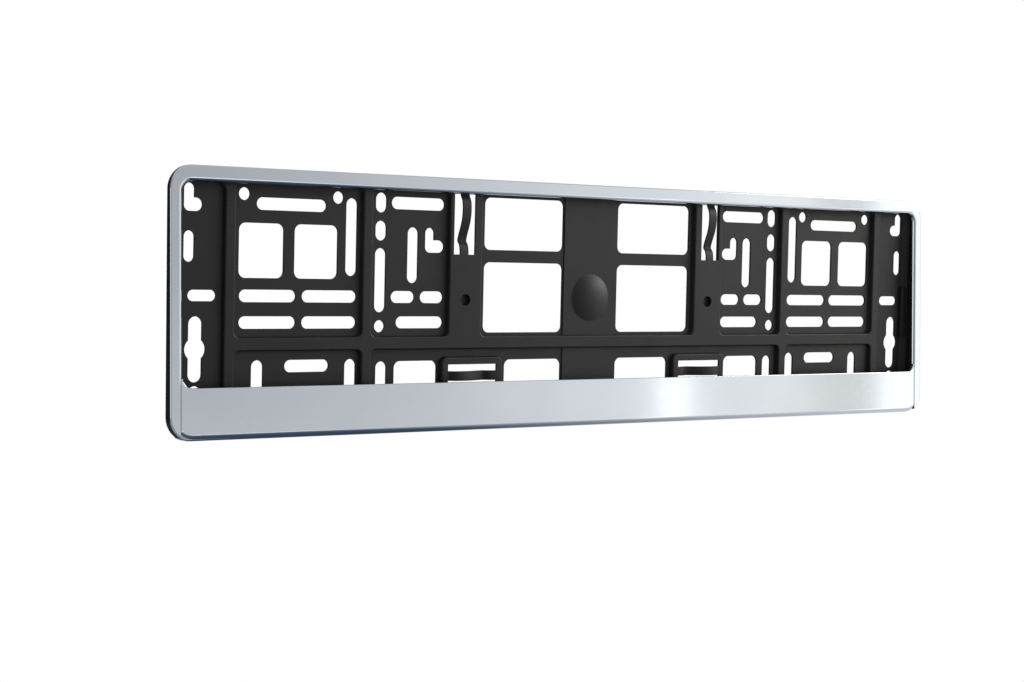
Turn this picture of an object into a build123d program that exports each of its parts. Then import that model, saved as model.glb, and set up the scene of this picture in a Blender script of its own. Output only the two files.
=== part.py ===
from build123d import *
from math import radians, tan
import os

# Number plate holder: a moulded tray, a trim frame on its front and a strip clipped on along the bottom.
# Millimetres. X runs to the viewer's right, Z up and +Y towards the vehicle.
# The functions count heights from the middle of the outline and levels from the rear plane to the viewer.
# The trim and the strip are drawn upright and then tipped back at the top, as the tray's front leans.
# The finished pieces have their origin in the rear plane, midway between the upper level slots.

# Outline seen from the front
holder_width = 530.0
holder_height = 135.0
corner_radius = 12.0

# Depth, layer by layer. The plate's room is measured at the top, where the leaning lip comes closest.
panel_wall = 1.2
rib_height = 2.6
plate_room = 2.1
lip_thickness = 2.2
trim_edge_thickness = 0.9
flange_thickness = 3.6

# Lean of the front and of the flange's rear face, in degrees
front_lean = 1.9
flange_lean = 0.9

# Trim frame
top_bar_height = 8.0
side_bar_width = 6.7
side_bar_foot_width = 5.5
lip_overlap = 2.2
top_lip_overlap = 3.0
window_radius = 5.0
trim_outer_round = 0.7
trim_inner_round = 2.0
peg_radius = 0.9
peg_length = 1.4
top_peg_count = 6
side_peg_count = 2
peg_end_margin = 30.0

# Bottom strip
strip_height = 26.0
strip_return_wall = 2.0
strip_return_depth = 5.0
strip_lower_round = 3.2
strip_upper_round = 0.4
clip_count = 6
clip_length = 14.0
clip_height = 0.8
clip_thickness = 1.6
clip_end_margin = 40.0

# Clearances
fit_gap = 0.3
seam_gap = 0.25
peg_gap = 0.1
clip_gap = 0.2

# Rim of the tray
ledge_width = 1.2
rear_margin = 0.6
end_wall_run = 4.3
long_wall_run = 1.5
end_stop_length = 32.0
end_stop_width = 1.2
end_stop_height = 2.2
end_stop_level = -3.5

# Rib grid, counted from the end walls towards the middle
end_panel_width = 22.8
rib_width = 5.4
slot_panel_width = 74.8
cross_panel_width = 49.0
spring_column_width = 20.8
lower_row_height = 17.7
cross_rib_width = 6.4
flank_draft = 0.5
panel_radius = 3.0
rib_round = 0.7

# Openings shared by all panels
slot_width = 6.3
upright_slot_width = 6.8
round_hole = 6.4
window_corner = 3.6
slot_side_margin = 2.5
slot_bar = 3.4
slot_row_offset = 7.6
slot_row_pitch = 13.4
lower_slot_offset = 5.0
lower_slot_tail = 8.5
lower_window_offset = 6.5
lower_window_tail = 14.0

# Slot panels
corner_hole_drop = 5.2
corner_hole_side = 6.0
corner_hole_inset = 14.3
top_slot_length = 40.6
top_slot_drop = 9.8
tall_slot_inset = 6.1
tall_slot_lift = 31.7
panel_window_bar = 6.1
panel_window_inset = 14.2
panel_window_margin = 3.2
panel_window_lift = 30.0
panel_window_drop = 19.6
row_outer_margin = 3.7
lower_slot_length = 26.1
lower_slot_drop = 8.2
lower_slot_middle = 31.5
lower_slot_outer = 14.6
lower_slot_inner = 5.6

# Cross panels
column_side = 6.5
column_slot_length = 10.4
column_slot_drop = 6.8
column_slot_pitch = 14.7
column_hole_lift = 5.6
column_tall_lift = 12.9
column_tall_drop = 30.6
head_slot_length = 33.6
head_slot_height = 6.5
head_slot_drop = 6.7
middle_slot_side = 26.6
middle_slot_lift = 28.4
middle_slot_drop = 19.2
hook_leg_width = 5.8
hook_foot_width = 12.2
hook_foot_height = 6.6
hook_height = 13.2
hook_drop = 19.2
short_slot_end = 13.3
lower_side_slot = 8.0
lower_window_side = 16.0
lower_window_width = 27.2

# End panels
keyhole_slot_width = 7.6
keyhole_bulb = 11.6
keyhole_side = 8.0
keyhole_drop = 2.4
keyhole_length = 32.6
keyhole_bar = 1.9
end_slot_length = 15.6
end_slot_width = 5.6
end_slot_side = 11.3
end_hook_side = 0.9
end_hook_width = 10.2
end_hook_height = 13.8
end_hook_drop = 0.9
end_upright_length = 15.4
end_upright_side = 3.9
end_upright_drop = 24.3

# Middle panel
post_half_width = 19.6
post_pad_inset = 0.7
post_pad_height = 0.5
middle_window_margin = 3.2
upper_window_height = 28.4
upper_window_drop = 1.7
window_bar = 6.8
lower_edge_lift = 2.0
dome_diameter = 26.5
dome_height = 3.0
dome_lift = 21.4

# Leaf springs and screw bosses in the spring columns
spring_window_width = 13.9
spring_window_length = 32.4
spring_window_drop = 0.6
spring_offset = 1.2
leaf_width = 5.2
leaf_thickness = 1.1
leaf_crest = 2.1
leaf_dip = 2.4
block_width = 39.4
block_inner_offset = 14.9
block_drop = 4.9
block_border = 3.7
block_window_height = 12.4
boss_hole = 6.3
boss_wall = 1.9
boss_floor = 1.2
boss_lift = 19.8
leaf_root = 0.6
# Share of a leaf's length, and its rise there as a share of the crest or the dip
leaf_rise = [(0.08, 0.55), (0.2, 1.0), (0.35, 0.9), (0.5, 0.35)]
leaf_fall = [(0.65, 0.55), (0.77, 1.0)]

# Distance at which an edge counts as lying on a line
touch = 0.01

# Lines seen from the front
half_width = holder_width / 2
half_height = holder_height / 2
window_side = half_width - side_bar_width
window_top = half_height - top_bar_height
strip_top = strip_height - half_height
seam_side = half_width - side_bar_foot_width
pocket_side = window_side + lip_overlap
pocket_top = window_top + top_lip_overlap
tray_bottom = strip_return_wall + fit_gap - half_height
pocket_bottom = tray_bottom + panel_wall
pocket_radius = window_radius + lip_overlap
foot_side = pocket_side - ledge_width - end_wall_run
foot_top = pocket_top - ledge_width - long_wall_run
foot_bottom = pocket_bottom + ledge_width + long_wall_run
rib_low = strip_top + lower_row_height
rib_high = rib_low + cross_rib_width
end_edge = foot_side - end_panel_width
slot_outer = end_edge - rib_width
slot_inner = slot_outer - slot_panel_width
cross_outer = slot_inner - rib_width
cross_inner = cross_outer - cross_panel_width
middle_edge = cross_inner - spring_column_width
column_middle = (cross_inner + middle_edge) / 2
spring_middle = column_middle + spring_offset
lower_slot_row = rib_high + slot_row_offset
upper_slot_row = lower_slot_row + slot_row_pitch

# Levels at mid height, from the rear plane towards the viewer, and one clear of the whole front
rib_front = panel_wall + rib_height
lip_back = rib_front + plate_room + pocket_top * tan(radians(front_lean))
face_front = lip_back + lip_thickness
rim_front = face_front - trim_edge_thickness
front_clear = face_front + holder_height * tan(radians(front_lean))


def layer(sketch, low, high):
    """A flat sketch of the front view, thickened between two levels."""
    return extrude(Plane.XZ.offset(low) * sketch, amount=high - low)


def leaning(solid, angle=front_lean):
    """A solid tipped back at the top, about the level line at mid height in the lip's rear plane."""
    return Pos(0, -lip_back, 0) * Rot(-angle, 0, 0) * Pos(0, lip_back, 0) * solid


def box(x0, x1, z0, z1):
    """A rectangle of the front view between two uprights and two heights."""
    return Pos((x0 + x1) / 2, (z0 + z1) / 2) * Rectangle(x1 - x0, z1 - z0)


def round_box(x0, x1, z0, z1, radius):
    """The same rectangle with rounded corners."""
    return Pos((x0 + x1) / 2, (z0 + z1) / 2) * RectangleRounded(x1 - x0, z1 - z0, radius)


def both_sides(sketch):
    """A right-hand sketch together with its mirror image."""
    return sketch + mirror(sketch, Plane.YZ)


def frustum(low_sketch, low, high_sketch, high):
    """A solid with straight sides between two sketches at two levels."""
    return loft([Plane.XZ.offset(low) * low_sketch, Plane.XZ.offset(high) * high_sketch], ruled=True)


def level_slot(x0, x1, z, width=slot_width):
    """A level slot with round ends between two uprights."""
    return Pos((x0 + x1) / 2, z) * SlotOverall(x1 - x0, width)


def upright_slot(x, z0, z1, width=upright_slot_width):
    """An upright slot with round ends between two heights."""
    return Pos(x, (z0 + z1) / 2) * SlotOverall(z1 - z0, width, rotation=90)


def hook_hole(x_outer, z_top, leg, foot, height, foot_height):
    """An L-shaped opening: an upright leg on the outer side, its foot turned towards the middle."""
    low = z_top - height
    upright = upright_slot(x_outer - leg / 2, low, z_top, leg)
    level = level_slot(x_outer - foot, x_outer, low + foot_height / 2, foot_height)
    heel = box(x_outer - leg, x_outer - leg / 2, low + foot_height / 2, low + foot_height)
    return upright + level + heel


def spread(count, half_span):
    """Even places along a line, from one end of the span to the other."""
    return [half_span * (2 * i / (count - 1) - 1) for i in range(count)]


def outline(inset=0):
    """The holder's outline, or a line at an even distance inside it."""
    return RectangleRounded(holder_width - 2 * inset, holder_height - 2 * inset, corner_radius - inset)


def window_sketch():
    """The opening inside the trim and above the strip."""
    return round_box(-window_side, window_side, strip_top, window_top, window_radius)


def strip_zone(gap):
    """The strip's share of the front view: all below the window, with an ear in each lower corner of it."""
    end = seam_side - gap
    return box(-end, end, -holder_height, strip_top + window_radius - gap) - window_sketch()


def pocket_sketch():
    return round_box(-pocket_side, pocket_side, pocket_bottom, pocket_top, pocket_radius)


def panel_sketches(grow):
    """Each recessed panel as a pair of edges: its foot on the floor and its rim at the ribs' front."""
    upper = (rib_high, foot_top + long_wall_run)
    lower = (foot_bottom - long_wall_run, rib_low)
    full = (lower[0], upper[1])
    # How far the left, right, lower and upper flank run in from the rim to the foot
    d = flank_draft
    upper_runs = (d, d, d, long_wall_run)
    lower_runs = (d, d, long_wall_run, d)
    end_runs = (d, end_wall_run, long_wall_run, long_wall_run)
    panels = [((-middle_edge, middle_edge), upper, upper_runs, panel_radius)]
    panels.append(((-cross_outer, cross_outer), lower, lower_runs, panel_radius))
    for sides, heights, runs, radius in (
            ((end_edge, foot_side + end_wall_run), full, end_runs, pocket_radius - ledge_width),
            ((slot_inner, slot_outer), upper, upper_runs, panel_radius),
            ((slot_inner, slot_outer), lower, lower_runs, panel_radius),
            ((cross_inner, cross_outer), upper, upper_runs, panel_radius)):
        panels.append((sides, heights, runs, radius))
        mirrored = (runs[1], runs[0], runs[2], runs[3])
        panels.append(((-sides[1], -sides[0]), heights, mirrored, radius))
    sketches = []
    for (x0, x1), (z0, z1), (left, right, down, up), radius in panels:
        foot = round_box(x0 + left, x1 - right, z0 + down, z1 - up, radius)
        rim = round_box(x0 - grow, x1 + grow, z0 - grow, z1 + grow, radius + grow)
        sketches.append((foot, rim))
    return sketches


def block_lines(inset):
    """Inner, outer, lower and upper line of the raised block around a level spring."""
    inner = middle_edge - block_inner_offset
    upper = rib_low - block_drop
    lower = upper - block_window_height - 2 * block_border
    return inner + inset, inner + block_width - inset, lower + inset, upper - inset


def slot_panel_openings():
    """Openings of one slot panel and of the panel below it."""
    hole_z = foot_top - corner_hole_drop
    outer_hole = slot_outer - corner_hole_side
    inner_hole = slot_inner + corner_hole_inset
    holes = Pos(outer_hole, hole_z) * Circle(round_hole / 2)
    holes += Pos(inner_hole, hole_z) * Circle(round_hole / 2)
    middle = (outer_hole + inner_hole) / 2
    reach = top_slot_length / 2
    holes += level_slot(middle - reach, middle + reach, foot_top - top_slot_drop)
    holes += upright_slot(slot_inner + tall_slot_inset, rib_high + tall_slot_lift, hole_z)
    x0 = slot_inner + panel_window_inset
    x1 = slot_outer - panel_window_margin
    size = (x1 - x0 - panel_window_bar) / 2
    low = rib_high + panel_window_lift
    top = foot_top - panel_window_drop
    for start in (x0, x1 - size):
        holes += round_box(start, start + size, low, top, window_corner)
    x0 = slot_inner + slot_side_margin
    x1 = slot_outer - row_outer_margin
    size = (x1 - x0 - slot_bar) / 2
    for z in (lower_slot_row, upper_slot_row):
        holes += level_slot(x0, x0 + size, z)
        holes += level_slot(x1 - size, x1, z)
    x = slot_inner + lower_slot_middle
    holes += level_slot(x - lower_slot_length / 2, x + lower_slot_length / 2, rib_low - lower_slot_drop)
    for x in (slot_outer - lower_slot_outer, slot_inner + lower_slot_inner):
        holes += upright_slot(x, strip_top - lower_slot_tail, rib_low - lower_slot_offset)
    return holes


def cross_panel_openings():
    """Openings of one cross panel and of the panel below it."""
    x = cross_outer - column_side
    z = foot_top - column_slot_drop
    holes = Pos(x, rib_high + column_hole_lift) * Circle(round_hole / 2)
    for row in range(2):
        top = z + column_slot_length / 2 - row * column_slot_pitch
        holes += upright_slot(x, top - column_slot_length, top)
    holes += upright_slot(x, rib_high + column_tall_lift, foot_top - column_tall_drop)
    x0 = cross_inner + slot_side_margin
    holes += level_slot(x0, x0 + head_slot_length, foot_top - head_slot_drop, head_slot_height)
    x = cross_outer - middle_slot_side
    holes += upright_slot(x, rib_high + middle_slot_lift, foot_top - middle_slot_drop)
    holes += hook_hole(x0 + hook_foot_width, foot_top - hook_drop, hook_leg_width, hook_foot_width,
                       hook_height, hook_foot_height)
    x1 = cross_outer - short_slot_end
    size = (x1 - x0 - slot_bar) / 2
    holes += level_slot(x0, x0 + size, upper_slot_row)
    holes += level_slot(x1 - size, x1, upper_slot_row)
    holes += level_slot(x0, x1 - slot_bar, lower_slot_row)
    low = strip_top - lower_slot_tail
    holes += upright_slot(cross_outer - lower_side_slot, low, rib_low - lower_window_offset)
    x1 = cross_outer - lower_window_side
    holes += round_box(x1 - lower_window_width, x1, strip_top - lower_window_tail,
                       rib_low - lower_window_offset, window_corner)
    return holes


def end_panel_openings():
    """Openings of one end panel."""
    x = foot_side - keyhole_side
    top = (rib_low + rib_high + keyhole_length) / 2 - keyhole_drop
    low = top - keyhole_length
    holes = upright_slot(x, low, top, keyhole_slot_width)
    holes += Pos(x, (top + low) / 2) * Circle(keyhole_bulb / 2)
    holes += upright_slot(x, strip_top - lower_window_tail, low - keyhole_bar, keyhole_slot_width)
    x = foot_side - end_slot_side
    reach = end_slot_length / 2
    holes += level_slot(x - reach, x + reach, upper_slot_row, end_slot_width)
    top = foot_top - end_upright_drop
    holes += upright_slot(foot_side - end_upright_side, top - end_upright_length, top, hook_leg_width)
    holes += hook_hole(foot_side - end_hook_side, foot_top - end_hook_drop, hook_leg_width, end_hook_width,
                       end_hook_height, hook_foot_height)
    return holes


def middle_panel_openings():
    """Openings beside the centre post, on one side."""
    x0 = post_half_width
    x1 = middle_edge - middle_window_margin
    top = foot_top - upper_window_drop
    low = top - upper_window_height
    holes = round_box(x0, x1, low, top, window_corner)
    holes += round_box(x0, x1, rib_high + lower_edge_lift, low - window_bar, window_corner)
    x1 = block_lines(0)[0] - middle_window_margin
    holes += round_box(x0, x1, strip_top - lower_window_tail, rib_low - lower_window_offset, window_corner)
    return holes


def front_edges(solid, level, sketch):
    """Edges of a solid at one level whose middle lies on the outline of a front-view sketch."""
    rim = (Plane.XZ.offset(level) * sketch).edges()
    found = []
    for edge in solid.edges().filter_by_position(Axis.Y, -level - touch, touch - level):
        middle = Vertex(edge @ 0.5)
        if min(line.distance_to(middle) for line in rim) < touch:
            found.append(edge)
    return found


def leaf_spring(length):
    """A leaf along X from 0 to length, level 0 at its roots: a crest towards the viewer, then a dip."""
    back = [(0, 0)]
    for share, part in leaf_rise:
        back.append((share * length, part * leaf_crest))
    for share, part in leaf_fall:
        back.append((share * length, -part * leaf_dip))
    back.append((length, 0))
    thick = leaf_thickness
    front = [(x, rise + thick) for x, rise in back]
    level = (1, 0)
    lower = Spline(*back, tangents=[level, level])
    upper = Spline(*front, tangents=[level, level])
    end = length + leaf_root
    rim = Polyline((length, 0), (end, 0), (end, thick), (length, thick))
    tail = Polyline((0, thick), (-leaf_root, thick), (-leaf_root, 0), (0, 0))
    return make_face(lower + rim + upper + tail)


def springs():
    """The four leaves, each across its window, moulded on at both roots."""
    level = -(rib_height + (panel_wall - leaf_thickness) / 2)
    top = foot_top - spring_window_drop
    upright_plane = Plane((spring_middle + leaf_width / 2, level, top), x_dir=(0, 0, -1), z_dir=(-1, 0, 0))
    upright = extrude(upright_plane * leaf_spring(spring_window_length), amount=leaf_width)
    inner, outer, lower, upper = block_lines(block_border)
    level_plane = Plane((outer, level, (lower + upper - leaf_width) / 2), x_dir=(-1, 0, 0), z_dir=(0, 0, 1))
    level_leaf = extrude(level_plane * leaf_spring(outer - inner), amount=leaf_width)
    return [upright, mirror(upright, Plane.YZ), level_leaf, mirror(level_leaf, Plane.YZ)]


def peg_places():
    """Centres of the trim's pegs, in the middle of the rim."""
    x = (pocket_side + half_width) / 2
    z = (pocket_top + half_height) / 2
    places = [(along, z) for along in spread(top_peg_count, half_width - peg_end_margin)]
    highest = half_height - peg_end_margin
    for step in range(side_peg_count):
        height = highest - step * (highest - strip_top) / side_peg_count
        places += [(-x, height), (x, height)]
    return places


def clip_places():
    """Middles of the clips along the bottom."""
    return spread(clip_count, half_width - clip_end_margin)


def clip_levels():
    """Rear and front level of a clip's barb."""
    low = lip_back - strip_return_depth + clip_thickness / 2
    return low, low + clip_thickness


def base_tray():
    wall = panel_wall
    # Shell: sloping rear part, upright rim and the flange that the trim sits on
    side = foot_side + rear_margin
    low = foot_bottom - rear_margin
    top = foot_top + rear_margin
    rear_edge = round_box(-side, side, low, top, panel_radius)
    side += end_wall_run
    low -= long_wall_run
    top += long_wall_run
    tray = frustum(rear_edge, 0, round_box(-side, side, low, top, panel_radius), rib_height)
    side = pocket_side + wall
    rim = round_box(-side, side, tray_bottom, pocket_top + wall, pocket_radius + wall)
    tray += layer(rim, rib_height, front_clear)
    field = box(-holder_width, holder_width, -holder_height, holder_height)
    flange = leaning(layer(outline() - strip_zone(0), 0, rim_front))
    tray += flange - leaning(layer(field, -front_clear, rim_front - flange_thickness), flange_lean)
    # The leaning front, the plate's pocket and the strip's place
    tray -= leaning(layer(field, rim_front, 2 * front_clear))
    tray -= layer(pocket_sketch(), rib_front, front_clear)
    tray -= leaning(layer(strip_zone(0), lip_back, front_clear))
    # Recessed panels between the ribs, and the raised blocks of the level springs
    for foot, rim in panel_sketches(0):
        tray -= frustum(foot, panel_wall, rim, rib_front)
    block = frustum(round_box(*block_lines(-flank_draft), panel_radius), panel_wall,
                    round_box(*block_lines(0), panel_radius), rib_front)
    tray += block
    tray += mirror(block, Plane.YZ)
    edges = front_edges(tray, rib_front, both_sides(round_box(*block_lines(0), panel_radius)))
    for foot, rim in panel_sketches(0):
        edges += front_edges(tray, rib_front, rim)
    tray = fillet(edges, rib_round)
    # Hollows behind the ribs and the blocks
    hollow = box(-foot_side, foot_side, foot_bottom, foot_top)
    for foot, rim in panel_sketches(wall):
        hollow -= rim
    hollow += both_sides(round_box(*block_lines(wall), panel_radius))
    tray -= layer(hollow, 0, rib_height)
    # Screw bosses, blind at the rear
    boss_z = rib_high + boss_lift
    boss_spot = both_sides(Pos(column_middle, boss_z) * Circle(boss_hole / 2 + boss_wall))
    tray += layer(boss_spot, 0, rib_height)
    tray -= layer(both_sides(Pos(column_middle, boss_z) * Circle(boss_hole / 2)), boss_floor, rib_front)
    # Centre post: a low pad and a dome with a hollow behind it
    pad = post_half_width - post_pad_inset
    tray += layer(box(-pad, pad, rib_high, foot_top) + box(-pad, pad, foot_bottom, rib_low),
                  panel_wall, panel_wall + post_pad_height)
    dome_base = panel_wall + post_pad_height
    dome_radius = (dome_diameter ** 2 / 4 + dome_height ** 2) / (2 * dome_height)
    dome_centre = dome_base + dome_height - dome_radius
    dome_spot = Pos(0, -dome_centre, rib_high + dome_lift)
    cap = layer(Pos(0, rib_high + dome_lift) * Circle(dome_diameter / 2), 0, dome_base + dome_height)
    tray += cap & dome_spot * Sphere(dome_radius)
    tray -= cap & dome_spot * Sphere(dome_radius - wall)
    # Stops on the end walls
    stop = layer(box(foot_side - end_stop_width, foot_side + end_wall_run,
                     end_stop_level - end_stop_length / 2, end_stop_level + end_stop_length / 2),
                 panel_wall, panel_wall + end_stop_height)
    tray += stop
    tray += mirror(stop, Plane.YZ)
    # Openings in the panels, spring windows and springs
    openings = slot_panel_openings() + cross_panel_openings()
    openings += end_panel_openings() + middle_panel_openings()
    tray -= layer(both_sides(openings), 0, panel_wall + post_pad_height)
    top = foot_top - spring_window_drop
    windows = box(spring_middle - spring_window_width / 2, spring_middle + spring_window_width / 2,
                  top - spring_window_length, top)
    windows += box(*block_lines(block_border))
    tray -= layer(both_sides(windows), rib_height, rib_front)
    for spring in springs():
        tray += spring
    # Seats of the trim's pegs and of the strip's clips
    for x, z in peg_places():
        seat = Pos(x, z) * Circle(peg_radius + peg_gap)
        tray -= leaning(layer(seat, rim_front - peg_length - peg_gap, rim_front))
    low, high = clip_levels()
    reach = clip_length / 2 + clip_gap
    seat_low = tray_bottom - fit_gap
    for x in clip_places():
        seat = box(x - reach, x + reach, seat_low, seat_low + clip_height + clip_gap)
        tray -= leaning(layer(seat, low - clip_gap, high + clip_gap))
    return tray


def rounded_plate(sketch, low, high, radius):
    """A sketch thickened between two levels, with its front edge rounded."""
    plate = layer(sketch, low, high)
    return fillet(front_edges(plate, high, sketch), radius)


def trim_frame():
    trim = rounded_plate(outline(), rim_front, face_front, trim_outer_round)
    side = pocket_side - fit_gap
    backing = round_box(-side, side, strip_top - lip_overlap, pocket_top - fit_gap, pocket_radius)
    trim += layer(backing, lip_back, rim_front)
    trim -= layer(window_sketch(), lip_back, face_front)
    trim = fillet(front_edges(trim, face_front, window_sketch()), trim_inner_round)
    # The strip's place, and the room behind the foot of each side bar
    trim -= layer(strip_zone(0), lip_back, face_front)
    foot_room = box(-half_width, half_width, -holder_height, strip_top + window_radius)
    trim -= layer(foot_room, lip_back, rim_front)
    for x, z in peg_places():
        trim += layer(Pos(x, z) * Circle(peg_radius), rim_front - peg_length, rim_front)
    return leaning(trim)


def bottom_strip():
    # A face with a return that follows the outline along the bottom and round its corners
    rear = lip_back - strip_return_depth
    strip = rounded_plate(outline(), rear, face_front, strip_lower_round)
    strip -= layer(outline(strip_return_wall), rear, lip_back)
    strip &= rounded_plate(strip_zone(seam_gap), rear, face_front, strip_upper_round)
    # Barbs: each rises from the return's inner face to a flat crest
    low = strip_return_wall - half_height
    rear, front = clip_levels()
    crest = (rear + front) / 2
    profile = Polyline((rear, 0), (crest, clip_height), (front, clip_height), (front, 0), close=True)
    for x in clip_places():
        plane = Plane((x - clip_length / 2, 0, low), x_dir=(0, -1, 0), z_dir=(1, 0, 0))
        strip += extrude(plane * make_face(profile), amount=clip_length)
    return leaning(strip)


os.makedirs("parts", exist_ok=True)
place = Pos(0, 0, -upper_slot_row)
export_step(place * base_tray(), "parts/base_tray.step")
export_step(place * trim_frame(), "parts/trim_frame.step")
export_step(place * bottom_strip(), "parts/bottom_strip.step")
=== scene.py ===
import math

import bpy
import numpy as np
from bpy.props import FloatProperty, FloatVectorProperty, PointerProperty
from mathutils import Matrix, Vector


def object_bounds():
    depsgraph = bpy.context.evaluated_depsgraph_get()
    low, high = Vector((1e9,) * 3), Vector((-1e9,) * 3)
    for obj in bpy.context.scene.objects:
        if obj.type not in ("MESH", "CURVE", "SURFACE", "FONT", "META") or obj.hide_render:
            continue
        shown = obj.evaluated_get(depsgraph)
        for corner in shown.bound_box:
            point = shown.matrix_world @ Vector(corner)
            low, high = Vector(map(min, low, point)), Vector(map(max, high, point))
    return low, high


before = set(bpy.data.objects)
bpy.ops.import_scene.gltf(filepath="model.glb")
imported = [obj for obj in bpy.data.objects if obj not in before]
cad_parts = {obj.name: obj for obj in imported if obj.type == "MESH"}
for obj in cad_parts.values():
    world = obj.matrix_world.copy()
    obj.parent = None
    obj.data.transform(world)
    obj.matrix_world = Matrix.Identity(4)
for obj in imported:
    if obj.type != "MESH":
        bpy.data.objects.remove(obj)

bl_info = {
    "name": "Number Plate Holder",
    "version": (1, 0, 0),
    "blender": (4, 5, 0),
    "location": "3D View > Sidebar > Plate Holder",
    "description": "Finishes and studio of a holder with a slotted tray, a trim frame and a bottom strip",
    "category": "Object",
}

CAD_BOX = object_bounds()
IMAGE_WIDTH = 1024


class TrayFinish(bpy.types.PropertyGroup):
    colour: FloatVectorProperty(
        name="Plastic", description="Colour of the moulded tray", subtype="COLOR", size=3,
        min=0.0, max=1.0, default=(0.0070, 0.0069, 0.0068))
    pale_colour: FloatVectorProperty(
        name="Pale flow", description="Colour of the paler flow marks in the moulding", subtype="COLOR",
        size=3, min=0.0, max=1.0, default=(0.0100, 0.0098, 0.0097))
    flow: FloatProperty(
        name="Flow", description="Length of one flow mark in the moulding", unit="LENGTH",
        subtype="DISTANCE", min=0.005, max=0.5, default=0.06)
    roughness: FloatProperty(
        name="Roughness", description="Mean roughness of the eroded mould finish", subtype="FACTOR",
        min=0.0, max=1.0, default=0.5)
    unevenness: FloatProperty(
        name="Unevenness", description="How far the roughness of a patch departs from the mean",
        subtype="FACTOR", min=0.0, max=1.0, default=0.05)
    patch: FloatProperty(
        name="Patch", description="Size of one duller or glossier patch", unit="LENGTH",
        subtype="DISTANCE", min=0.001, max=0.2, default=0.012)
    shine: FloatProperty(
        name="Shine", description="Specular level of the plastic", subtype="FACTOR",
        min=0.0, max=1.0, default=0.2)
    grain: FloatProperty(
        name="Grain", description="Size of one grain of the mould's eroded skin", unit="LENGTH",
        subtype="DISTANCE", min=0.0001, max=0.01, default=0.0006)
    grain_depth: FloatProperty(
        name="Grain depth", description="Height of the grain", unit="LENGTH", subtype="DISTANCE",
        min=0.0, max=0.001, default=0.00004)


class SilverFinish(bpy.types.PropertyGroup):
    colour: FloatVectorProperty(
        name="Silver", description="Colour of the silver coat", subtype="COLOR", size=3,
        min=0.0, max=1.0, default=(0.392, 0.412, 0.448))
    pale_colour: FloatVectorProperty(
        name="Pale silver", description="Colour where the coat lies thicker", subtype="COLOR", size=3,
        min=0.0, max=1.0, default=(0.412, 0.432, 0.466))
    patch: FloatProperty(
        name="Patch", description="Size of one thicker patch of the coat", unit="LENGTH",
        subtype="DISTANCE", min=0.001, max=0.2, default=0.035)
    roughness: FloatProperty(
        name="Roughness", description="Roughness of the polished coat", subtype="FACTOR",
        min=0.0, max=1.0, default=0.07)
    haze: FloatProperty(
        name="Haze", description="Further roughness in the duller patches of the coat", subtype="FACTOR",
        min=0.0, max=1.0, default=0.03)
    haze_patch: FloatProperty(
        name="Haze patch", description="Size of one duller patch of the coat", unit="LENGTH",
        subtype="DISTANCE", min=0.0005, max=0.1, default=0.004)
    ripple: FloatProperty(
        name="Ripple", description="Length of the coat's slow ripple", unit="LENGTH", subtype="DISTANCE",
        min=0.001, max=0.2, default=0.02)
    ripple_depth: FloatProperty(
        name="Ripple depth", description="Height of the coat's slow ripple", unit="LENGTH",
        subtype="DISTANCE", min=0.0, max=0.0005, default=0.000004)


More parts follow.
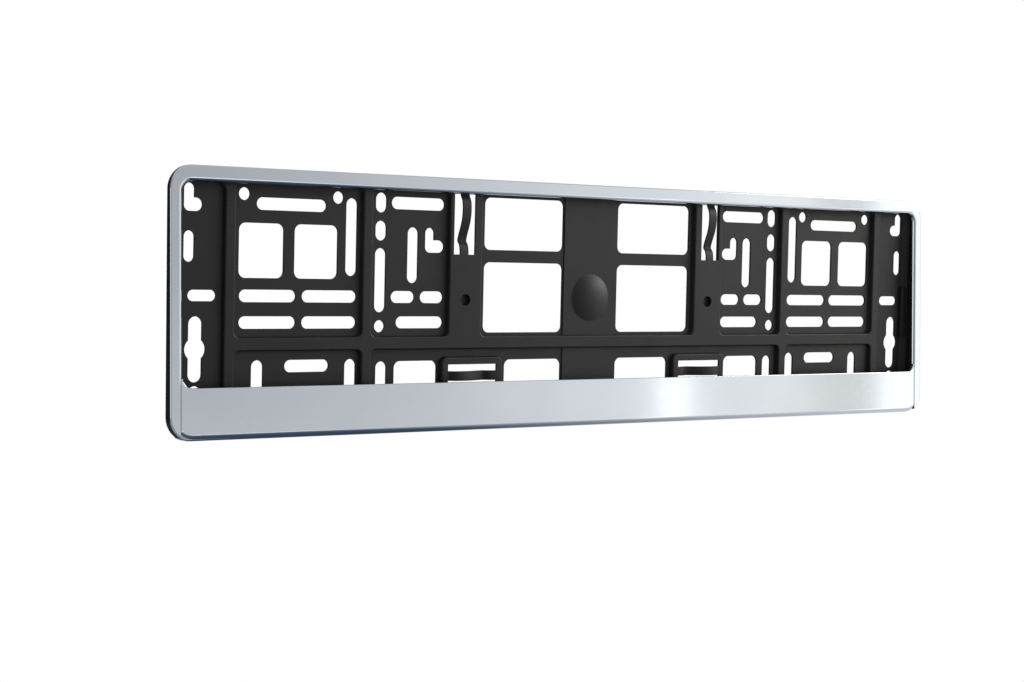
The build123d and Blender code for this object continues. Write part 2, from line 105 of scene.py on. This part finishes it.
class StudioSettings(bpy.types.PropertyGroup):
    floor_drop: FloatProperty(
        name="Floor drop", description="Height of the holder's lower edge above the floor", unit="LENGTH",
        subtype="DISTANCE", min=0.05, max=3.0, default=0.5)
    floor_radius: FloatProperty(
        name="Floor radius", description="Radius of the round studio floor", unit="LENGTH",
        subtype="DISTANCE", min=0.2, max=5.0, default=1.3)
    floor_colour: FloatVectorProperty(
        name="Floor", description="Colour of the floor", subtype="COLOR", size=3,
        min=0.0, max=1.0, default=(0.80, 0.80, 0.81))
    ambient: FloatProperty(
        name="Ambient", description="Strength of the even light from all round",
        min=0.0, max=2.0, default=0.7)
    panel_radius: FloatProperty(
        name="Light panel radius", description="Distance of the curved light panel from the holder",
        unit="LENGTH", subtype="DISTANCE", min=0.5, max=6.0, default=2.2)
    panel_height: FloatProperty(
        name="Light panel height", description="Height of the curved light panel", unit="LENGTH",
        subtype="DISTANCE", min=0.2, max=4.0, default=1.8)
    panel_start: FloatProperty(
        name="Light panel start", description="Bearing of its dim end, from straight ahead to the right",
        subtype="ANGLE", min=-math.pi, max=math.pi, default=math.radians(16.0))
    panel_end: FloatProperty(
        name="Light panel end", description="Bearing of the panel's right end", subtype="ANGLE",
        min=-math.pi, max=math.pi, default=math.radians(84.0))
    panel_strength: FloatProperty(
        name="Light panel strength", description="Brightness of the panel's brightest strip",
        min=0.0, max=20.0, default=3.0)
    panel_foot: FloatProperty(
        name="Light panel foot", description="How many times brighter the dim end's lower part is",
        min=0.0, max=5.0, default=2.4)
    side_start: FloatProperty(
        name="Side panel start", description="Bearing of the side panel's end near straight ahead",
        subtype="ANGLE", min=-math.pi, max=math.pi, default=math.radians(-50.0))
    side_end: FloatProperty(
        name="Side panel end", description="Bearing of the side panel's far end on the left",
        subtype="ANGLE", min=-math.pi, max=math.pi, default=math.radians(-93.0))
    side_height: FloatProperty(
        name="Side panel height", description="Height of the slim panel on the left", unit="LENGTH",
        subtype="DISTANCE", min=0.05, max=3.0, default=0.6)
    side_strength: FloatProperty(
        name="Side panel strength", description="Brightness of the slim panel on the left",
        min=0.0, max=20.0, default=2.0)
    high_start: FloatProperty(
        name="High panel start", description="Bearing of the high panel's left end", subtype="ANGLE",
        min=-math.pi, max=math.pi, default=math.radians(50.0))
    high_end: FloatProperty(
        name="High panel end", description="Bearing of the high panel's right end", subtype="ANGLE",
        min=-math.pi, max=math.pi, default=math.radians(95.0))
    high_radius: FloatProperty(
        name="High panel radius", description="Distance of the high panel from the holder", unit="LENGTH",
        subtype="DISTANCE", min=0.5, max=6.0, default=2.05)
    high_height: FloatProperty(
        name="High panel height", description="Height of the high panel", unit="LENGTH",
        subtype="DISTANCE", min=0.1, max=3.0, default=0.8)
    high_lift: FloatProperty(
        name="High panel lift", description="Height of the high panel's middle above the holder",
        unit="LENGTH", subtype="DISTANCE", min=0.0, max=3.0, default=0.82)
    high_strength: FloatProperty(
        name="High panel strength", description="Brightness of the high panel",
        min=0.0, max=50.0, default=17.0)
    screen_height: FloatProperty(
        name="Screen height", description="Height of the screens on the left", unit="LENGTH",
        subtype="DISTANCE", min=0.1, max=4.0, default=2.6)
    front_screen_end: FloatProperty(
        name="Front screen end", description="Bearing of the front screen's end near straight ahead",
        subtype="ANGLE", min=-math.pi, max=math.pi, default=math.radians(4.0))
    rear_screen_start: FloatProperty(
        name="Rear screen start", description="Bearing of the rear screen's front end", subtype="ANGLE",
        min=-math.pi, max=math.pi, default=math.radians(-95.0))
    rear_screen_end: FloatProperty(
        name="Rear screen end", description="Bearing of the rear screen's end behind the holder",
        subtype="ANGLE", min=-math.tau, max=math.pi, default=math.radians(-170.0))
    card_radius: FloatProperty(
        name="Card radius", description="Reach of the dark card's ellipsoid from the holder's middle",
        unit="LENGTH", subtype="DISTANCE", min=0.2, max=3.0, default=0.9)
    card_depth: FloatProperty(
        name="Card depth", description="Depth of the dark card's lowest point", unit="LENGTH",
        subtype="DISTANCE", min=0.1, max=2.0, default=0.5)
    card_rise: FloatProperty(
        name="Card rise", description="How far up the card is drawn, from straight below", subtype="ANGLE",
        min=0.2, max=1.5, default=math.radians(61.0))
    card_start: FloatProperty(
        name="Card start", description="Bearing of the dark card's front end", subtype="ANGLE",
        min=-math.pi, max=math.pi, default=math.radians(-40.0))
    card_end: FloatProperty(
        name="Card end", description="Bearing of the dark card's rear end, round by the right",
        subtype="ANGLE", min=-math.pi, max=math.tau, default=math.radians(230.0))
    card_fade_start: FloatProperty(
        name="Card fade start", description="How far to the right the card starts to turn pale",
        unit="LENGTH", subtype="DISTANCE", min=-1.0, max=1.0, default=0.2)
    card_fade_end: FloatProperty(
        name="Card fade end", description="How far to the right the card is fully pale", unit="LENGTH",
        subtype="DISTANCE", min=-1.0, max=1.0, default=0.6)
    card_strength: FloatProperty(
        name="Card strength", description="Brightness of the card's pale right side",
        min=0.0, max=5.0, default=1.3)
    top_power: FloatProperty(
        name="Top light", description="Power of the soft light above", unit="POWER",
        min=0.0, max=200.0, default=6.0)
    camera_place: FloatVectorProperty(
        name="Camera place", description="Where the camera stands", subtype="TRANSLATION", unit="LENGTH",
        size=3, default=(-0.68724, -0.86709, 0.02165))
    camera_turn: FloatVectorProperty(
        name="Camera turn", description="Camera's turn to the right, tilt up and roll to the left",
        subtype="EULER", size=3,
        default=(math.radians(36.195), math.radians(-2.423), math.radians(1.284)))
    lens_pixels: FloatProperty(
        name="Lens", description="Focal length as a number of pixels of the picture",
        min=100.0, max=10000.0, default=1949.0)


class HolderSettings(bpy.types.PropertyGroup):
    tray: PointerProperty(type=TrayFinish)
    silver: PointerProperty(type=SilverFinish)
    studio: PointerProperty(type=StudioSettings)


def new_material(name):
    """An empty node material; returns the material, its nodes, its links and its Principled shader."""
    material = bpy.data.materials.new(name)
    material.use_nodes = True
    nodes = material.node_tree.nodes
    return material, nodes, material.node_tree.links, nodes["Principled BSDF"]


def noise(nodes, links, place, size, detail, roughness):
    """Noise whose cells have a given size in metres, read at a coordinate socket."""
    node = nodes.new("ShaderNodeTexNoise")
    node.inputs["Scale"].default_value = 1.0 / size
    node.inputs["Detail"].default_value = detail
    node.inputs["Roughness"].default_value = roughness
    links.new(place, node.inputs["Vector"])
    return node.outputs["Fac"]


def shades(nodes, links, factor, steps):
    """Blends any number of colours, each given with its place along a factor."""
    node = nodes.new("ShaderNodeValToRGB")
    links.new(factor, node.inputs["Fac"])
    elements = node.color_ramp.elements
    while len(elements) < len(steps):
        elements.new(1.0)
    for element, (position, colour) in zip(elements, steps):
        element.position = position
        element.color = (*colour, 1.0)
    return node.outputs["Color"]


def mixed(nodes, links, factor, first, second):
    """Blends two colour sockets, from the first at a factor of 0 to the second at 1."""
    node = nodes.new("ShaderNodeMixRGB")
    links.new(factor, node.inputs["Fac"])
    links.new(first, node.inputs["Color1"])
    links.new(second, node.inputs["Color2"])
    return node.outputs["Color"]


def spread(nodes, links, factor, low, high, out_low, out_high):
    """Maps a factor's span onto another span."""
    node = nodes.new("ShaderNodeMapRange")
    node.inputs["From Min"].default_value = low
    node.inputs["From Max"].default_value = high
    node.inputs["To Min"].default_value = out_low
    node.inputs["To Max"].default_value = out_high
    links.new(factor, node.inputs["Value"])
    return node.outputs["Result"]


def bump(nodes, links, height, depth, shader):
    """Raises the surface by a height socket times a depth in metres."""
    node = nodes.new("ShaderNodeBump")
    node.inputs["Distance"].default_value = depth
    links.new(height, node.inputs["Height"])
    links.new(node.outputs["Normal"], shader.inputs["Normal"])


def tray_plastic(finish):
    """Matte black moulding: an eroded grain of fine noise, slow paler flow marks and duller patches."""
    material, nodes, links, shader = new_material("tray_plastic")
    place = nodes.new("ShaderNodeTexCoord").outputs["Object"]
    flow = noise(nodes, links, place, finish.flow, detail=3.0, roughness=0.55)
    tint = shades(nodes, links, flow, [(0.35, finish.colour), (0.7, finish.pale_colour)])
    links.new(tint, shader.inputs["Base Color"])
    patches = noise(nodes, links, place, finish.patch, detail=4.0, roughness=0.6)
    smoothest = finish.roughness - finish.unevenness
    roughest = finish.roughness + finish.unevenness
    links.new(spread(nodes, links, patches, 0.3, 0.7, smoothest, roughest), shader.inputs["Roughness"])
    grain = noise(nodes, links, place, finish.grain, detail=2.0, roughness=0.5)
    bump(nodes, links, grain, finish.grain_depth, shader)
    shader.inputs["Specular IOR Level"].default_value = finish.shine
    return material


def silver_coat(name, finish):
    """Satin silver: a metal coat with slightly paler and duller patches and a very slow ripple."""
    material, nodes, links, shader = new_material(name)
    place = nodes.new("ShaderNodeTexCoord").outputs["Object"]
    patches = noise(nodes, links, place, finish.patch, detail=3.0, roughness=0.5)
    tint = shades(nodes, links, patches, [(0.3, finish.colour), (0.7, finish.pale_colour)])
    links.new(tint, shader.inputs["Base Color"])
    haze = noise(nodes, links, place, finish.haze_patch, detail=3.0, roughness=0.6)
    dullest = finish.roughness + finish.haze
    links.new(spread(nodes, links, haze, 0.35, 0.75, finish.roughness, dullest), shader.inputs["Roughness"])
    ripple = noise(nodes, links, place, finish.ripple, detail=1.0, roughness=0.4)
    bump(nodes, links, ripple, finish.ripple_depth, shader)
    shader.inputs["Metallic"].default_value = 1.0
    return material


def dress(node_name, material):
    """Puts a material on every slot of a CAD node."""
    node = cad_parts[node_name]
    if not node.material_slots:
        raise RuntimeError(node_name + " has no material slot")
    for slot in node.material_slots:
        slot.material = material


def grid_mesh(name, points, closed=False):
    """Stage mesh of a grid of points, rows by columns: quads between neighbours, and a 0 to 1 chart."""
    rows, columns = points.shape[:2]
    index = np.arange(rows * columns).reshape(rows, columns)
    if closed:
        index = np.concatenate([index, index[:, :1]], axis=1)
    corners = [index[:-1, :-1], index[:-1, 1:], index[1:, 1:], index[1:, :-1]]
    quads = np.stack(corners, axis=-1).reshape(-1, 4)
    mesh = bpy.data.meshes.new(name)
    mesh.from_pydata(points.reshape(-1, 3).tolist(), [], quads.tolist())
    across, up = np.meshgrid(np.linspace(0, 1, columns), np.linspace(0, 1, rows))
    chart = np.stack([across, up], axis=-1).reshape(-1, 2)
    loops = np.empty(len(mesh.loops), dtype=np.int32)
    mesh.loops.foreach_get("vertex_index", loops)
    mesh.uv_layers.new(name="chart").data.foreach_set("uv", chart[loops].astype(np.float32).ravel())
    thing = bpy.data.objects.new(name, mesh)
    bpy.context.scene.collection.objects.link(thing)
    return thing


def studio_floor(studio):
    """A round floor: rings of growing radius about the holder's middle, at one height."""
    low, high = CAD_BOX
    radius = np.linspace(0.0, studio.floor_radius, num=12)[:, None]
    turn = np.linspace(0.0, math.tau, num=96, endpoint=False)[None, :]
    x = (low.x + high.x) / 2 + radius * np.cos(turn)
    y = (low.y + high.y) / 2 + radius * np.sin(turn)
    z = np.full_like(x, low.z - studio.floor_drop)
    floor = grid_mesh("studio_floor", np.stack([x, y, z], axis=-1), closed=True)
    material, nodes, links, shader = new_material("floor_paint")
    place = nodes.new("ShaderNodeTexCoord").outputs["Object"]
    clouds = noise(nodes, links, place, size=0.4, detail=2.0, roughness=0.5)
    darker = [0.97 * channel for channel in studio.floor_colour]
    tint = shades(nodes, links, clouds, [(0.3, darker), (0.7, studio.floor_colour)])
    links.new(tint, shader.inputs["Base Color"])
    shader.inputs["Roughness"].default_value = 0.9
    shader.inputs["Specular IOR Level"].default_value = 0.1
    floor.data.materials.append(material)


def shining(name, strength):
    """A material that only shines, by a strength.

    Returns the material with its nodes, its links, the chart's coordinates and the emission shader.
    """
    material, nodes, links, shader = new_material(name)
    nodes.remove(shader)
    chart = nodes.new("ShaderNodeUVMap")
    chart.uv_map = "chart"
    apart = nodes.new("ShaderNodeSeparateXYZ")
    links.new(chart.outputs["UV"], apart.inputs["Vector"])
    emit = nodes.new("ShaderNodeEmission")
    emit.inputs["Strength"].default_value = strength
    links.new(emit.outputs["Emission"], nodes["Material Output"].inputs["Surface"])
    return material, nodes, links, apart.outputs, emit


def plain_glow(name, axis, steps, strength):
    """A shining material with colours along one axis of the chart."""
    material, nodes, links, chart, emit = shining(name, strength)
    links.new(shades(nodes, links, chart[axis], steps), emit.inputs["Color"])
    return material


def only_reflected(thing):
    """Leaves a studio card visible in reflections alone."""
    thing.visible_camera = False
    thing.visible_diffuse = False
    thing.visible_transmission = False
    thing.visible_shadow = False


def arc_panel(name, radius, start, end, height, middle=0.0):
    """An upright curved panel: a circle's arc about the holder, between two bearings, times a height."""
    turn = np.linspace(start, end, num=65)[None, :]
    rise = middle + height * np.linspace(-0.5, 0.5, num=3)[:, None]
    x = radius * np.sin(turn) + 0 * rise
    y = -radius * np.cos(turn) + 0 * rise
    z = rise + 0 * turn
    return grid_mesh(name, np.stack([x, y, z], axis=-1))


def light_panel(studio):
    """The main panel at the front right, brighter to the right and along the foot of its dim end.

    The strip reflects its lower half, which has one bright window more, and the top bar its upper half.
    """
    start, end, strength = studio.panel_start, studio.panel_end, studio.panel_strength
    panel = arc_panel("light_panel", studio.panel_radius, start, end, studio.panel_height)
    panel.visible_camera = False
    # Bearing in degrees, brightness
    right_tones = [(50.8, 2.7), (52.0, 2.7), (52.5, 2.15), (55.0, 1.75), (84.0, 1.3)]
    low_tones = [(16.0, 1.0), (25.0, 1.1), (31.0, 1.25), (38.6, 1.61), (41.0, 1.72), (41.4, 3.0),
                 (42.2, 3.0), (42.6, 1.75), (47.3, 1.8), (48.4, 1.5), (50.4, 1.42)] + right_tones
    high_tones = [(16.0, 0.85), (25.0, 1.0), (31.0, 1.22), (43.0, 1.71), (46.0, 1.98), (47.5, 1.97),
                  (48.7, 1.56), (50.5, 1.45)] + right_tones
    brightest = max(brightness for bearing, brightness in low_tones)
    # Bearings where the tones start to turn warm and are warmest, and what is then left of the blue
    warm_from, warm_full, warm_blue = 38.0, 46.0, 0.955
    # Bearings between which the foot fades out, and its upper edge on the chart
    foot_full, foot_gone = 22.0, 30.0
    foot_low, foot_high = 0.35, 0.41
    # Where on the chart the lower half blends into the upper half
    blend_low, blend_high = 0.50, 0.60

    def place(bearing):
        """Place of a bearing along the chart."""
        return (math.radians(bearing) - start) / (end - start)

    def steps(tones):
        """Places and colours of the tones."""
        found = []
        for bearing, brightness in tones:
            tone = brightness / brightest
            blue = np.interp(bearing, [warm_from, warm_full], [1.0, warm_blue])
            found.append((place(bearing), (tone, tone, blue * tone)))
        return found

    material, nodes, links, chart, emit = shining("panel_glow", strength)
    lower = shades(nodes, links, chart["X"], steps(low_tones))
    upper = shades(nodes, links, chart["X"], steps(high_tones))
    blend = spread(nodes, links, chart["Y"], blend_low, blend_high, 0.0, 1.0)
    links.new(mixed(nodes, links, blend, lower, upper), emit.inputs["Color"])
    foot = spread(nodes, links, chart["X"], place(foot_full), place(foot_gone),
                  strength * studio.panel_foot, strength)
    level = spread(nodes, links, chart["Y"], foot_low, foot_high, strength, strength)
    links.new(foot, level.node.inputs["To Min"])
    links.new(level, emit.inputs["Strength"])
    panel.data.materials.append(material)


def side_panel(studio):
    """A low, slim panel at the front left that the edges turned that way reflect."""
    panel = arc_panel("side_panel", studio.panel_radius, studio.side_end, studio.side_start,
                      studio.side_height)
    only_reflected(panel)
    steps = [(0.0, (0.85, 0.87, 0.9)), (1.0, (1.0, 1.0, 1.0))]
    panel.data.materials.append(plain_glow("side_glow", "X", steps, studio.side_strength))


def high_panel(studio):
    """A panel high on the right, seen by the rough plastic more than by the polished front."""
    panel = arc_panel("high_panel", studio.high_radius, studio.high_start, studio.high_end,
                      studio.high_height, studio.high_lift)
    only_reflected(panel)
    steps = [(0.0, (0.6, 0.6, 0.6)), (1.0, (1.0, 1.0, 1.0))]
    panel.data.materials.append(plain_glow("high_glow", "X", steps, studio.high_strength))


def screens(studio):
    """Two screens on the left: a grey one ahead of the side panel and a black one behind it."""
    for name, start, end, grey in (
            ("front_screen", studio.side_start, studio.front_screen_end, 0.5),
            ("rear_screen", studio.rear_screen_end, studio.rear_screen_start, 0.04)):
        screen = arc_panel(name, studio.panel_radius, start, end, studio.screen_height)
        only_reflected(screen)
        steps = [(0.0, 3 * [0.8 * grey]), (1.0, 3 * [grey])]
        screen.data.materials.append(plain_glow(name + "_cloth", "Y", steps, strength=1.0))


def dark_card(studio):
    """A navy card below, pale on its right side: a patch of a flat ellipsoid about the holder.

    x = a sin(slope) sin(turn), y = -a sin(slope) cos(turn), z = -h cos(slope), a the reach, h the depth
    """
    turn = np.linspace(studio.card_start, studio.card_end, num=73)[None, :]
    slope = np.linspace(0.0, studio.card_rise, num=25)[:, None]
    x = studio.card_radius * np.sin(slope) * np.sin(turn)
    y = -studio.card_radius * np.sin(slope) * np.cos(turn)
    z = -studio.card_depth * np.cos(slope) + 0 * turn
    card = grid_mesh("dark_card", np.stack([x, y, z], axis=-1))
    only_reflected(card)
    material, nodes, links, chart, emit = shining("card_navy", studio.card_strength)
    navy = shades(nodes, links, chart["Y"], [
        (0.0, (0.055, 0.08, 0.125)), (0.6, (0.09, 0.13, 0.20)),
        (0.9, (0.19, 0.25, 0.31)), (1.0, (0.35, 0.38, 0.42))])
    pale = shades(nodes, links, chart["Y"], [(0.0, (0.95, 0.96, 0.98)), (1.0, (0.97, 0.98, 1.0))])
    place = nodes.new("ShaderNodeSeparateXYZ")
    links.new(nodes.new("ShaderNodeTexCoord").outputs["Object"], place.inputs["Vector"])
    fade = spread(nodes, links, place.outputs["X"], studio.card_fade_start, studio.card_fade_end, 0.0, 1.0)
    links.new(mixed(nodes, links, fade, navy, pale), emit.inputs["Color"])
    card.data.materials.append(material)


def white_surroundings(studio):
    """A world that is white to the camera and in reflections, and a softer even light elsewhere."""
    world = bpy.data.worlds.new("studio_white")
    bpy.context.scene.world = world
    world.use_nodes = True
    nodes, links = world.node_tree.nodes, world.node_tree.links
    even = nodes["Background"]
    even.inputs["Color"].default_value = (1.0, 1.0, 1.0, 1.0)
    even.inputs["Strength"].default_value = studio.ambient
    white = nodes.new("ShaderNodeBackground")
    white.inputs["Color"].default_value = (1.0, 1.0, 1.0, 1.0)
    rays = nodes.new("ShaderNodeLightPath")
    seen = rays.outputs["Is Camera Ray"]
    for kind in ("Is Glossy Ray", "Is Transmission Ray"):
        either = nodes.new("ShaderNodeMath")
        either.operation = "MAXIMUM"
        links.new(seen, either.inputs[0])
        links.new(rays.outputs[kind], either.inputs[1])
        seen = either.outputs["Value"]
    mix = nodes.new("ShaderNodeMixShader")
    links.new(seen, mix.inputs["Fac"])
    links.new(even.outputs["Background"], mix.inputs[1])
    links.new(white.outputs["Background"], mix.inputs[2])
    links.new(mix.outputs["Shader"], nodes["World Output"].inputs["Surface"])


def soft_light(name, place, aim, width, height, power):
    """A rectangular soft light at a place, turned to a point."""
    lamp = bpy.data.lights.new(name, "AREA")
    lamp.shape = "RECTANGLE"
    lamp.size = width
    lamp.size_y = height
    lamp.energy = power
    thing = bpy.data.objects.new(name, lamp)
    thing.location = place
    thing.rotation_euler = (Vector(aim) - Vector(place)).to_track_quat("-Z", "Y").to_euler()
    thing.visible_glossy = False
    bpy.context.scene.collection.objects.link(thing)


def studio_camera(studio):
    """The camera: turned to the right, tilted up, then rolled about its line of sight."""
    turn, tilt, roll = studio.camera_turn
    right = Vector((math.cos(turn), -math.sin(turn), 0.0))
    level = Vector((math.sin(turn), math.cos(turn), 0.0))
    ahead = math.cos(tilt) * level + math.sin(tilt) * Vector((0.0, 0.0, 1.0))
    up = right.cross(ahead)
    rolled_right = math.cos(roll) * right + math.sin(roll) * up
    rolled_up = math.cos(roll) * up - math.sin(roll) * right
    axes = Matrix((rolled_right, rolled_up, -ahead)).transposed().to_4x4()
    data = bpy.data.cameras.new("studio_camera")
    data.sensor_width = 36.0
    data.sensor_fit = "HORIZONTAL"
    data.lens = studio.lens_pixels * data.sensor_width / IMAGE_WIDTH
    data.clip_start = 0.01
    camera = bpy.data.objects.new("studio_camera", data)
    camera.matrix_world = Matrix.Translation(studio.camera_place) @ axes
    bpy.context.scene.collection.objects.link(camera)
    bpy.context.scene.camera = camera


class HOLDER_OT_tray(bpy.types.Operator):
    """Give the slotted tray its matte black moulded finish"""
    bl_idname = "holder.tray"
    bl_label = "Finish Tray"

    def execute(self, context):
        dress("base_tray", tray_plastic(context.scene.plate_holder.tray))
        return {"FINISHED"}


class HOLDER_OT_silver(bpy.types.Operator):
    """Give the trim frame and the bottom strip their satin silver coat"""
    bl_idname = "holder.silver"
    bl_label = "Finish Trim and Strip"

    def execute(self, context):
        finish = context.scene.plate_holder.silver
        dress("trim_frame", silver_coat("trim_silver", finish))
        dress("bottom_strip", silver_coat("strip_silver", finish))
        return {"FINISHED"}


class HOLDER_OT_stage(bpy.types.Operator):
    """Set up the floor, the surroundings, the lights and the camera"""
    bl_idname = "holder.stage"
    bl_label = "Set Up Studio"

    def execute(self, context):
        studio = context.scene.plate_holder.studio
        studio_floor(studio)
        light_panel(studio)
        side_panel(studio)
        high_panel(studio)
        screens(studio)
        dark_card(studio)
        white_surroundings(studio)
        soft_light("top_light", place=(0.3, -0.9, 1.6), aim=(0.0, 0.0, 0.0), width=1.4, height=1.0,
                   power=studio.top_power)
        studio_camera(studio)
        context.scene.view_settings.view_transform = "Standard"
        return {"FINISHED"}


class HOLDER_PT_sidebar(bpy.types.Panel):
    bl_label = "Number Plate Holder"
    bl_idname = "HOLDER_PT_sidebar"
    bl_space_type = "VIEW_3D"
    bl_region_type = "UI"
    bl_category = "Plate Holder"

    def draw(self, context):
        settings = context.scene.plate_holder
        for title, group, operator in (
                ("Tray", settings.tray, HOLDER_OT_tray),
                ("Silver", settings.silver, HOLDER_OT_silver),
                ("Studio", settings.studio, HOLDER_OT_stage)):
            column = self.layout.box().column()
            column.label(text=title)
            for name in group.__annotations__:
                column.prop(group, name)
            column.operator(operator.bl_idname)


CLASSES = (
    TrayFinish, SilverFinish, StudioSettings, HolderSettings,
    HOLDER_OT_tray, HOLDER_OT_silver, HOLDER_OT_stage, HOLDER_PT_sidebar,
)


def register():
    for cls in CLASSES:
        bpy.utils.register_class(cls)
    bpy.types.Scene.plate_holder = PointerProperty(type=HolderSettings)


def unregister():
    del bpy.types.Scene.plate_holder
    for cls in reversed(CLASSES):
        bpy.utils.unregister_class(cls)


def main():
    register()
    bpy.ops.holder.tray()
    bpy.ops.holder.silver()
    bpy.ops.holder.stage()


if __name__ == "__main__":
    main()
